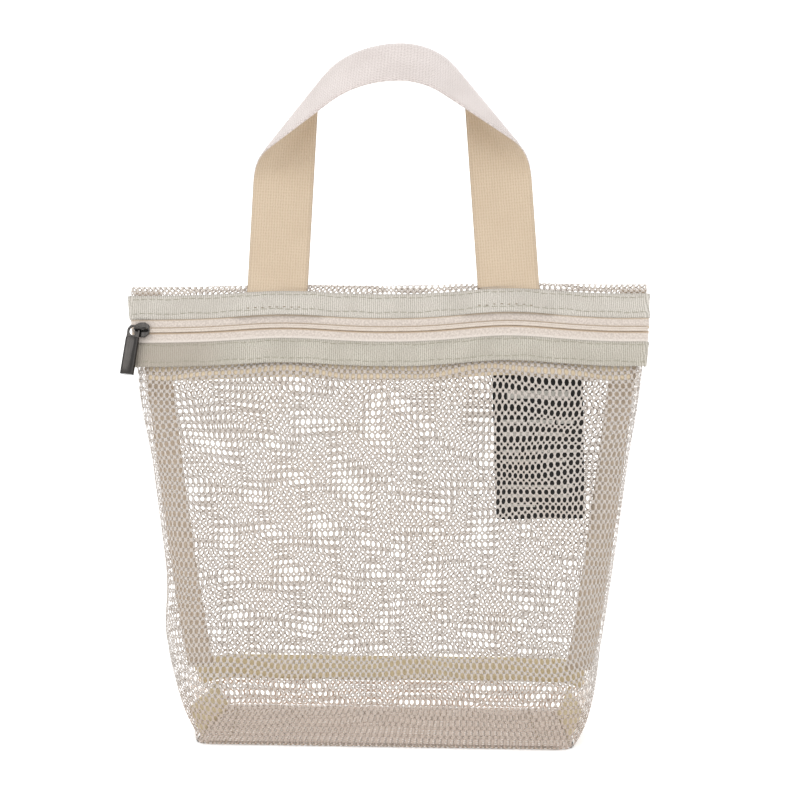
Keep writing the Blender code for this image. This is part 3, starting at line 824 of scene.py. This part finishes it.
def build_handle(outer, inner):
    """The webbing from one sewn end, over the arch, to the other, as one length."""
    lengths = {side: leg_length(side) for side in (-1, 1)}
    roots = {side: webbing_point(lengths[side], 0.0, side)[0] for side in (-1, 1)}
    across = np.linspace(-0.5 * WEBBING_WIDTH, 0.5 * WEBBING_WIDTH, 15)
    end_heights = np.linspace(0.2370, 0.2505, 7)

    def shift(x):
        t = min(1.0, max(0.0, (x - roots[-1].x) / (roots[1].x - roots[-1].x)))
        return HINGE_Y - (roots[-1].y * (1.0 - t) + roots[1].y * t)

    def end_row(side, z):
        x = roots[side].x + side * math.tan(LEG_LEAN[side]) * (roots[side].z - z)
        columns = x - across * math.cos(LEG_LEAN[side]) * side
        depth = -(half_depth(z) + TAPE_OFFSET + 0.5 * WEBBING)
        row = np.stack(np.broadcast_arrays(columns, depth, z), axis=1)
        return drape(row), np.tile([0.0, 1.0, 0.0], (len(across), 1))

    def leg_row(side, length):
        row, normals = [], []
        for a in across:
            point, normal = webbing_point(length, a, side)
            row.append((point.x, point.y + shift(point.x), point.z))
            normals.append(tuple(normal))
        return np.array(row), np.array(normals)

    halves = {}
    for side, length in lengths.items():
        ends = [(*end_row(side, z), side * (length + HINGE_HEIGHT - z)) for z in end_heights]
        leg = [(*leg_row(side, t * length), side * t * length) for t in np.linspace(1.0, 0.0, 76)]
        halves[side] = ends + leg
    rows, normals, runs = zip(*halves[-1], *halves[1][-2::-1])
    grid = np.array(rows)
    grid[..., 0] += RIGHT_LEG_SHIFT * smooth(grid[..., 0], -0.04, 0.05)
    uv = np.stack(np.meshgrid(across, runs), axis=-1)[..., ::-1]
    # The inner face takes the darker finish, which is painted shade.
    finishes = [outer, inner]
    return thick_sheet(
        "handle_webbing", grid, np.array(normals), WEBBING, finishes, uv, edge=0.55, two_faced=True
    )


# Zip

def front_slope(z):
    step = 0.001
    return math.atan2(float(half_depth(z - step) - half_depth(z + step)), 2.0 * step)


def wall_frame():
    at = Vector((0.0, -float(half_depth(ZIP_HEIGHT)), ZIP_HEIGHT))
    return Matrix.Translation(at) @ Matrix.Rotation(-front_slope(ZIP_HEIGHT), 4, "X")


def build_coil(name, direction, finish, node):
    """One row of coils: a bar of closely set rounded turns that reaches the other row's turns."""
    # Up towards the tape's edge and out from the tape, as shares of a turn's reach and rise
    profile = [(0.0, 0.0), (0.0, 0.86), (0.25, 1.0), (0.55, 0.96)]
    profile += [(0.85, 0.62), (1.0, 0.12), (0.8, 0.0), (0.4, 0.0)]
    turn_pitch, steps_per_turn = 0.0014, 6
    reach, rise, overlap = 0.00128, 0.0010, 0.00001
    count = int(2.0 * COIL_HALF_LENGTH / turn_pitch) * steps_per_turn
    frame_at = wall_frame()
    rotation = np.array(frame_at.to_3x3())
    origin = np.array(frame_at.translation)
    rings = []
    for along in np.linspace(-COIL_HALF_LENGTH, COIL_HALF_LENGTH, count + 1):
        fat = 0.5 + 0.5 * direction * math.cos(2.0 * math.pi * along / turn_pitch)
        ring = []
        for up, out in profile:
            z = direction * (up * (reach + 0.00006 * fat) - overlap)
            y = -(TAPE_OFFSET - 0.0001 + out * (rise + 0.00022 * fat))
            ring.append((along, y, z))
        rings.append(ring)
    points = drape(np.array(rings) @ rotation.T + origin)
    faces = tube_faces(len(rings), len(profile), 0)
    if direction > 0:
        faces = [face[::-1] for face in faces]
    made = new_object(name, points, faces, [finish])
    return finish_piece(made, "bag", "nylon_coil", node)


def from_bmesh(name, mesh, finish, smooth_angle=0.6):
    bmesh.ops.recalc_face_normals(mesh, faces=mesh.faces)
    data = bpy.data.meshes.new(name)
    mesh.to_mesh(data)
    mesh.free()
    data.shade_smooth()
    data.set_sharp_from_angle(angle=smooth_angle)
    data.materials.append(finish)
    return placed(name, data)


def bevelled(made, width):
    bevel = made.modifiers.new("bevel", "BEVEL")
    bevel.width = width
    bevel.segments = 2
    bevel.limit_method = "ANGLE"
    bevel.angle_limit = math.radians(35.0)
    return made


def slab(mesh, outline, near, far):
    """A flat plate between y = near and y = far with that outline in x and z."""
    start = mesh.faces.new([mesh.verts.new((x, near, z)) for x, z in outline])
    moved = bmesh.ops.extrude_face_region(mesh, geom=[start])["geom"]
    tips = [v for v in moved if isinstance(v, bmesh.types.BMVert)]
    bmesh.ops.translate(mesh, verts=tips, vec=(0.0, far - near, 0.0))


def circle(radius, steps, at=(0.0, 0.0)):
    turns = [2.0 * math.pi * i / steps for i in range(steps)]
    return [(at[0] + radius * math.cos(turn), at[1] + radius * math.sin(turn)) for turn in turns]


def join_rings(mesh, near, far):
    """Faces between two rings with the same number of points."""
    for i in range(len(near)):
        j = (i + 1) % len(near)
        mesh.faces.new((near[i], near[j], far[j], far[i]))


SLIDER_X = -0.1412
SLIDER_HALF = 0.0043
PLATE_FRONT, BRIDGE_OUT, BRIDGE_RADIUS = 0.0040, 0.0072, 0.0007
PULL_OUT = 0.0053
PULL_TILT = math.radians(6.0)
PULL_HANG = Vector((-0.0006, 0.0, -0.0013))


def slider_frame():
    return wall_frame() @ Matrix.Translation((SLIDER_X, 0.0, 0.0))


def build_slider(finish):
    """The slider's shaped front plate with its side lips, its post and its rear plate."""
    half = SLIDER_HALF
    nose, tail = 0.0026, 0.0034
    outline = [
        (-half, -tail + 0.0006),
        (-half + 0.0010, -tail),
        (-0.0010, -half),
        (0.0016, -half),
        (half - 0.0006, -nose - 0.0004),
        (half, -nose + 0.0004),
    ]
    outline += [(x, -z) for x, z in reversed(outline)]
    mesh = bmesh.new()
    slab(mesh, outline, -PLATE_FRONT, -PLATE_FRONT + 0.0011)
    rear = [(x * 0.94, z * 0.86) for x, z in outline]
    slab(mesh, rear, 0.0001, 0.0010)
    post_end, post_tip, thin = -half + 0.0004, 0.0022, 0.00024
    post = [(post_end, -thin), (post_tip, -thin), (post_tip, thin), (post_end, thin)]
    slab(mesh, post, -PLATE_FRONT + 0.0008, 0.0003)
    for up in (-1, 1):
        lip = [
            (-half + 0.0012, up * 0.0031),
            (-0.0010, up * half),
            (0.0016, up * half),
            (half - 0.0012, up * 0.0029),
            (half - 0.0014, up * 0.0024),
            (0.0014, up * (half - 0.0008)),
            (-0.0010, up * (half - 0.0008)),
            (-half + 0.0014, up * 0.0026),
        ]
        slab(mesh, lip if up > 0 else lip[::-1], -PLATE_FRONT + 0.0006, -TAPE_OFFSET - 0.0002)
    made = bevelled(from_bmesh("slider_shell", mesh, finish), 0.00028)
    made.matrix_world = slider_frame()
    return finish_piece(made, "slider", "gunmetal", "slider_body")


def build_bridge(finish):
    """The cast loop on the slider's face, wider at its feet."""
    left, right = -SLIDER_HALF + BRIDGE_RADIUS, 0.0026
    foot, top, bend = -PLATE_FRONT, -BRIDGE_OUT, 0.0010
    line = [(left, foot)]
    for angle in np.linspace(0.0, 0.5 * math.pi, 7):
        line.append((left + bend * (1 - math.cos(angle)), top + bend * (1 - math.sin(angle))))
    for angle in np.linspace(0.0, 0.5 * math.pi, 7):
        line.append((right - bend * (1 - math.sin(angle)), top + bend * (1 - math.cos(angle))))
    line.append((right, foot))
    curve = bpy.data.curves.new("slider_loop", "CURVE")
    curve.dimensions = "3D"
    curve.bevel_depth = BRIDGE_RADIUS
    curve.bevel_resolution = 4
    curve.use_fill_caps = True
    spline = curve.splines.new("POLY")
    spline.points.add(len(line) - 1)
    for i, (point, (x, y)) in enumerate(zip(spline.points, line)):
        point.co = (x, y, 0.0, 1.0)
        point.radius = 1.0 + 0.35 * (i in (0, len(line) - 1))
    curve.materials.append(finish)
    made = placed("slider_loop", curve)
    made.matrix_world = slider_frame()
    return finish_piece(made, "slider", "gunmetal", "slider_bridge")


def build_pull(finish):
    """A flat head with a round hole, stepped up to a thick bar with a rounded front."""
    mesh = bmesh.new()
    steps = 32
    outline = [(-0.0037, -0.0042), (0.0037, -0.0042), (0.0037, 0.0012)]
    outline += [(0.0021, 0.0035), (-0.0021, 0.0035), (-0.0037, 0.0012)]
    rim = []
    for i in range(steps):
        angle = 2.0 * math.pi * i / steps
        dx, dz = math.cos(angle), math.sin(angle)
        reach = 1.0
        for k, (ax, az) in enumerate(outline):
            bx, bz = outline[(k + 1) % len(outline)]
            nx, nz = bz - az, ax - bx
            facing = dx * nx + dz * nz
            if facing > 1e-9:
                reach = min(reach, (ax * nx + az * nz) / facing)
        rim.append((dx * reach, dz * reach))
    half = 0.00065
    rings = []
    for ring in (rim, circle(0.0025, steps)):
        for y in (-half, half):
            rings.append([mesh.verts.new((x, y, z)) for x, z in ring])
    rim_out, rim_in, hole_out, hole_in = rings
    for near, far in ((rim_out, hole_out), (hole_out, hole_in), (hole_in, rim_in), (rim_in, rim_out)):
        join_rings(mesh, near, far)
    # The bar: rings of a squared oval, drawn in a little at both ends
    wide, deep = 0.00395, 0.0021
    stations = [(-0.00355, 0.88), (-0.0040, 1.0), (-0.0253, 1.0), (-0.0257, 0.97)]
    sides = 28
    bar = []
    for z, scale in stations:
        ring = []
        for k in range(sides):
            angle = 2.0 * math.pi * (k + 0.5) / sides
            cx, cy = math.cos(angle), math.sin(angle)
            x = math.copysign(abs(cx) ** 0.45, cx) * wide
            y = math.copysign(abs(cy) ** 0.80, cy) * deep
            ring.append(mesh.verts.new((x * scale, y * scale, z)))
        bar.append(ring)
    for near, far in zip(bar, bar[1:]):
        join_rings(mesh, near, far)
    mesh.faces.new(bar[0])
    mesh.faces.new(bar[-1][::-1])
    made = bevelled(from_bmesh("zip_pull", mesh, finish, 0.7), 0.00022)
    made.matrix_world = (
        slider_frame()
        @ Matrix.Translation((-SLIDER_HALF + BRIDGE_RADIUS, -PULL_OUT, 0.0))
        @ Matrix.Rotation(PULL_TILT, 4, "Y")
        @ Matrix.Translation(PULL_HANG)
    )
    return finish_piece(made, "pull", "gunmetal", "pull")


# Swing tag

def build_tag(card, ink):
    """A card with rounded corners and a punched hole, and plain bars in place of its printing."""
    low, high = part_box("swing_tag")
    hole = circle(0.0018, 24, (0.088, joints["tag_swing"]["pos_m"][2]))
    corner = 0.0016
    outline = []
    left, right = low.x + 0.0027, high.x + 0.0024
    for cx, cz, start in (
        (right - corner, high.z - corner, 0.0),
        (left + corner, high.z - corner, 0.5),
        (left + corner + 0.0026, low.z + corner, 1.0),
        (right - corner + 0.0008, low.z + corner + 0.0008, 1.5),
    ):
        for t in np.linspace(0.0, 0.5, 5):
            angle = math.pi * (start + t)
            outline.append((cx + corner * math.cos(angle), cz + corner * math.sin(angle)))
    mesh = bmesh.new()
    loops = []
    for depth in (low.y, high.y):
        outer = [mesh.verts.new((x, depth, z)) for x, z in outline]
        inner = [mesh.verts.new((x, depth, z)) for x, z in hole]
        edges = []
        for loop in (outer, inner):
            edges += [mesh.edges.new((loop[i], loop[(i + 1) % len(loop)])) for i in range(len(loop))]
        bmesh.ops.triangle_fill(mesh, edges=edges, use_beauty=True)
        loops.append((outer, inner))
    for near, far in zip(*loops):
        join_rings(mesh, near, far)
    tag = from_bmesh("hanging_tag", mesh, card, 0.5)
    finish_piece(tag, "tag", "card", "swing_tag")

    # Rows of plain bars stand for the printed rows
    bars = bmesh.new()
    left, top = low.x + 0.0034, high.z
    rows = [
        (0.014, 0.0045, [(0.008, 0.044)]),
        (0.0305, 0.0022, [(0.006, 0.018), (0.020, 0.034), (0.036, 0.046)]),
        (0.0375, 0.0022, [(0.006, 0.022), (0.024, 0.040)]),
        (0.0475, 0.0016, [(0.006, 0.016), (0.018, 0.029), (0.031, 0.047)]),
        (0.0530, 0.0016, [(0.006, 0.027), (0.029, 0.041)]),
        (0.0675, 0.0016, [(0.006, 0.020), (0.022, 0.046)]),
        (0.0730, 0.0016, [(0.006, 0.032), (0.034, 0.043)]),
        (0.0785, 0.0016, [(0.006, 0.024)]),
    ]
    for down, tall, spans in rows:
        for a, b in spans:
            start, end, z = left + a, left + b, top - down
            outline = [(start, z - tall), (end, z - tall), (end, z), (start, z)]
            slab(bars, outline, low.y - 0.00006, low.y + 0.00002)
    finish_piece(from_bmesh("tag_bars", bars, ink, 0.5), "tag", "card")


# Build

net = net_finish("net_yarn", (190, 183, 177), (172, 164, 157), (182, 168, 155), (172, 156, 144))
# The back net's yarn is a lighter copy of the front's: painted light that makes up for the shade inside the
# bag.
back_yarn = net_finish("back_yarn", (204, 196, 189), (187, 179, 171), (196, 183, 170), (194, 180, 168))
# The floor's yarn is a much lighter copy of the net's yarn: painted light against the shade on the floor
# inside the bag.
floor_yarn = net_finish("floor_yarn", (233, 216, 202), (217, 200, 186), (216, 200, 186), (218, 200, 186))
upper_grosgrain = grosgrain_finish("grosgrain_upper", (203, 198, 190), (160, 154, 144))
lower_grosgrain = grosgrain_finish(
    "grosgrain_lower", (194, 189, 178), (150, 144, 132), (-0.105, -0.070, (152, 141, 128))
)
binding = binding_finish("binding_tape", (236, 222, 190), (217, 202, 167))
facing_cloth = binding_finish("facing_cloth", (217, 200, 173), (199, 182, 156))
zip_cloth = zip_cloth_finish()
coil = speckled_finish(
    "nylon_coil", 0.42, (300.0, 2.0), ((194, 182, 170), (208, 198, 188)), (2500.0, 0.15, 0.00005)
)
webbing_outer = webbing_finish("webbing_outer", (219, 210, 207), (176, 165, 160), 0.0006)
# The inner face's darker tan is painted shade: the same cream webbing as the outer face, coloured as it
# looks in shadow.
webbing_inner = webbing_finish("webbing_inner", (195, 177, 154), (177, 157, 133), 0.0001)


def thread_finish(name, dark, light):
    return speckled_finish(
        name, 0.55, (700.0, 2.0), (dark, light), (5000.0, 0.4, 0.00005), (0.4, 1.0, 1.0), Sheen_Weight=0.1
    )


thread = thread_finish("sewing_thread", (138, 133, 116), (166, 162, 146))
# The darker thread serves the stitches over the webbing's ends and the dark dots along the floor's edge,
# which are painted shade.
dark_thread_and_painted_shade = thread_finish("seam_thread", (104, 90, 68), (146, 130, 104))
gunmetal = metal_finish()
card = card_finish()
ink = speckled_finish("pale_print", 0.6, (1200.0, 3.0), ((176, 172, 163), (215, 212, 205)))
plastic = speckled_finish("tag_plastic", 0.35, (800.0, 2.0), ((24, 23, 22), (40, 38, 36)))

front_net = build_front_net(net)
back_net = build_back_net(back_yarn)
base_net = build_base_net(floor_yarn)

# The lowest and highest edge of each tape, and how far its inner face is from the wall's line
upper_tape = build_tape(
    "upper_grosgrain", 0.2350, 0.2490, TAPE_OFFSET, TAPE, upper_grosgrain, "grosgrain", "upper_tape",
    rise=tape_rise,
)
lower_tape = build_tape(
    "lower_grosgrain", 0.2074, 0.2214, TAPE_OFFSET, TAPE, lower_grosgrain, "grosgrain", "lower_tape"
)
facing = build_tape(
    "inner_facing", 0.1995, 0.2160, -(NET + 0.0008), TAPE, facing_cloth, "binding", "facing_tape",
    reach=0.885,
)
bottom_tape = build_tape(
    "bottom_tape", 0.0175, 0.0325, -(NET + 0.0018), 0.0012, binding, "binding", "bottom_seam_binding",
    reach=0.86, side=1,
)
side_binding = binding_finish("side_binding", (210, 195, 177), (193, 176, 157))
side_tapes = [build_side_binding(side, side_binding) for side in (-1, 1)]
corner_tapes = [build_corner_binding(side, binding) for side in (-1, 1)]


def zip_strip(name, low, high, node):
    grid, normals, uv = wall_strip(low, high, ZIP_TAPE_OFFSET + 0.5 * ZIP_TAPE, 260, 11)
    uv[..., 1] -= ZIP_HEIGHT
    made = thick_sheet(name, grid, normals, ZIP_TAPE, [zip_cloth], uv)
    return finish_piece(made, "bag", "zip_cloth", node)


zip_upper = zip_strip("zip_cloth_upper", 0.2290, 0.2442, "zip_tape_upper")
zip_lower = zip_strip("zip_cloth_lower", 0.2128, 0.2278, "zip_tape_lower")
build_coil("coil_upper", 1, coil, "zip_coil_upper")
build_coil("coil_lower", -1, coil, "zip_coil_lower")

handle = build_handle(webbing_outer, webbing_inner)
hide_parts("handle", "handle_end_left", "handle_end_right")
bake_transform(handle)

SEAM_ROWS = ((0.2468, tape_rise), (0.2383, tape_rise), (0.2198, None), (0.2102, None))
tape_rows = [row_on_wall(height, 0.0046, rise) for height, rise in SEAM_ROWS]
build_stitching("tape_stitches", tape_rows, 0.0038, 0.00021, thread, "grosgrain")


def rows_over_ends(height, pitch):
    """A closer row of stitches across each end of the webbing."""
    rows = []
    for leg in LEG_X:
        x = np.arange(leg - 0.0165, leg + 0.0166, pitch)
        z = height + RANDOM.normal(0.0, 0.00012, len(x))
        y = -(half_depth(z) + ON_TAPE + tape_rise(x))
        middle = drape(np.stack([x, y, z], axis=1))
        along = np.tile([1.0, 0.0, 0.0], (len(x), 1))
        normal = np.tile([0.0, -1.0, 0.0], (len(x), 1))
        rows.append((middle, along, normal))
    return rows


build_stitching("end_stitches", rows_over_ends(0.2394, 0.0042), 0.0016, 0.00022, dark_thread_and_painted_shade, "grosgrain")


def floor_seam_and_shade_rows():
    """Dark dots along the seam that joins the front to the floor, partly its stitches and partly painted
    shade along the bottom edge, and curved rows of dark dots at its two corners, along the short seams
    there, that are painted shade seen through the net.
    """
    x = np.arange(-0.098, 0.0981, 0.0024)
    y = np.full(len(x), -(BASE_HALF_DEPTH + 0.0003))
    z = np.full(len(x), 0.0011)
    middle = drape(np.stack([x, y, z], axis=1))
    rows = [(middle, np.tile([1.0, 0.0, 0.0], (len(x), 1)), np.tile([0.0, -1.0, 0.2], (len(x), 1)))]
    for side in (-1, 1):
        t = np.linspace(0.0, 1.0, 9)
        x = side * (0.0790 + 0.0075 * t**1.5)
        z = 0.0215 - 0.0190 * t
        y = -(half_depth(z) + 0.0003)
        middle = drape(np.stack([x, y, z], axis=1))
        along = np.gradient(middle, axis=0)
        rows.append((middle, along, np.tile([0.0, -1.0, 0.1], (len(x), 1))))
    return rows


# Dark thread as painted shade along the floor's edge and at its corners.
build_stitching("floor_stitches", floor_seam_and_shade_rows(), 0.0011, 0.00025, dark_thread_and_painted_shade, "net")

build_slider(gunmetal)
build_bridge(gunmetal)
build_pull(gunmetal)
build_tag(card, ink)
tag_ring = frame["nodes"]["tag_ring"]
tag_ring.data.materials.clear()
tag_ring.data.materials.append(plastic)


# Stage, light and camera

def stage_finish():
    made = Finish("studio_paper", 0.9, Emission_Strength=0.35)
    made.shader.inputs["Base Color"].default_value = (0.86, 0.86, 0.86, 1.0)
    made.shader.inputs["Emission Color"].default_value = (1.0, 1.0, 1.0, 1.0)
    return made.material


def build_stage():
    """A pale floor that turns up smoothly into the backdrop."""
    depth, radius, rows = 1.1, 0.5, 14
    profile = [(-2.0, 0.0), (depth, 0.0)]
    for t in np.linspace(0.0, 0.5 * math.pi, rows)[1:]:
        profile.append((depth + radius * math.sin(t), radius * (1.0 - math.cos(t))))
    profile.append((depth + radius, 3.0))
    points = [(x, y, z) for y, z in profile for x in (-3.0, 3.0)]
    faces = [(2 * i, 2 * i + 1, 2 * i + 3, 2 * i + 2) for i in range(len(profile) - 1)]
    made = new_object("studio_sweep", points, faces, [stage_finish()])
    made.location.z = -0.0004


def area_light(name, at, target, size, energy, colour=(1.0, 1.0, 1.0)):
    data = bpy.data.lights.new(name, "AREA")
    data.shape = "RECTANGLE"
    data.size, data.size_y = size
    data.energy = energy
    data.color = colour
    made = placed(name, data)
    made.location = at
    made.rotation_euler = (Vector(target) - Vector(at)).to_track_quat("-Z", "Y").to_euler()


build_stage()
world = bpy.data.worlds.new("studio")
world.use_nodes = True
background = world.node_tree.nodes["Background"]
background.inputs["Color"].default_value = (1.0, 1.0, 1.0, 1.0)
background.inputs["Strength"].default_value = 0.95
bpy.context.scene.world = world
area_light("key", (-1.1, -1.5, 1.5), (0.0, 0.0, 0.16), (1.4, 1.4), 14.0, (1.0, 0.985, 0.96))
area_light("fill", (1.5, -1.2, 0.8), (0.0, 0.0, 0.16), (1.6, 1.6), 6.0)
area_light("back", (0.0, 1.0, 1.4), (0.0, 0.0, 0.2), (1.6, 0.8), 6.0)

camera_data = bpy.data.cameras.new("camera")
camera_data.lens = 56.0
camera_data.sensor_width = 36.0
camera = placed("camera", camera_data)
camera.location = (0.0500, -0.7180, 0.1885)
camera.rotation_euler = (math.radians(90.0), 0.0, math.radians(3.43))
bpy.context.scene.camera = camera
bpy.context.scene.view_settings.view_transform = "Standard"
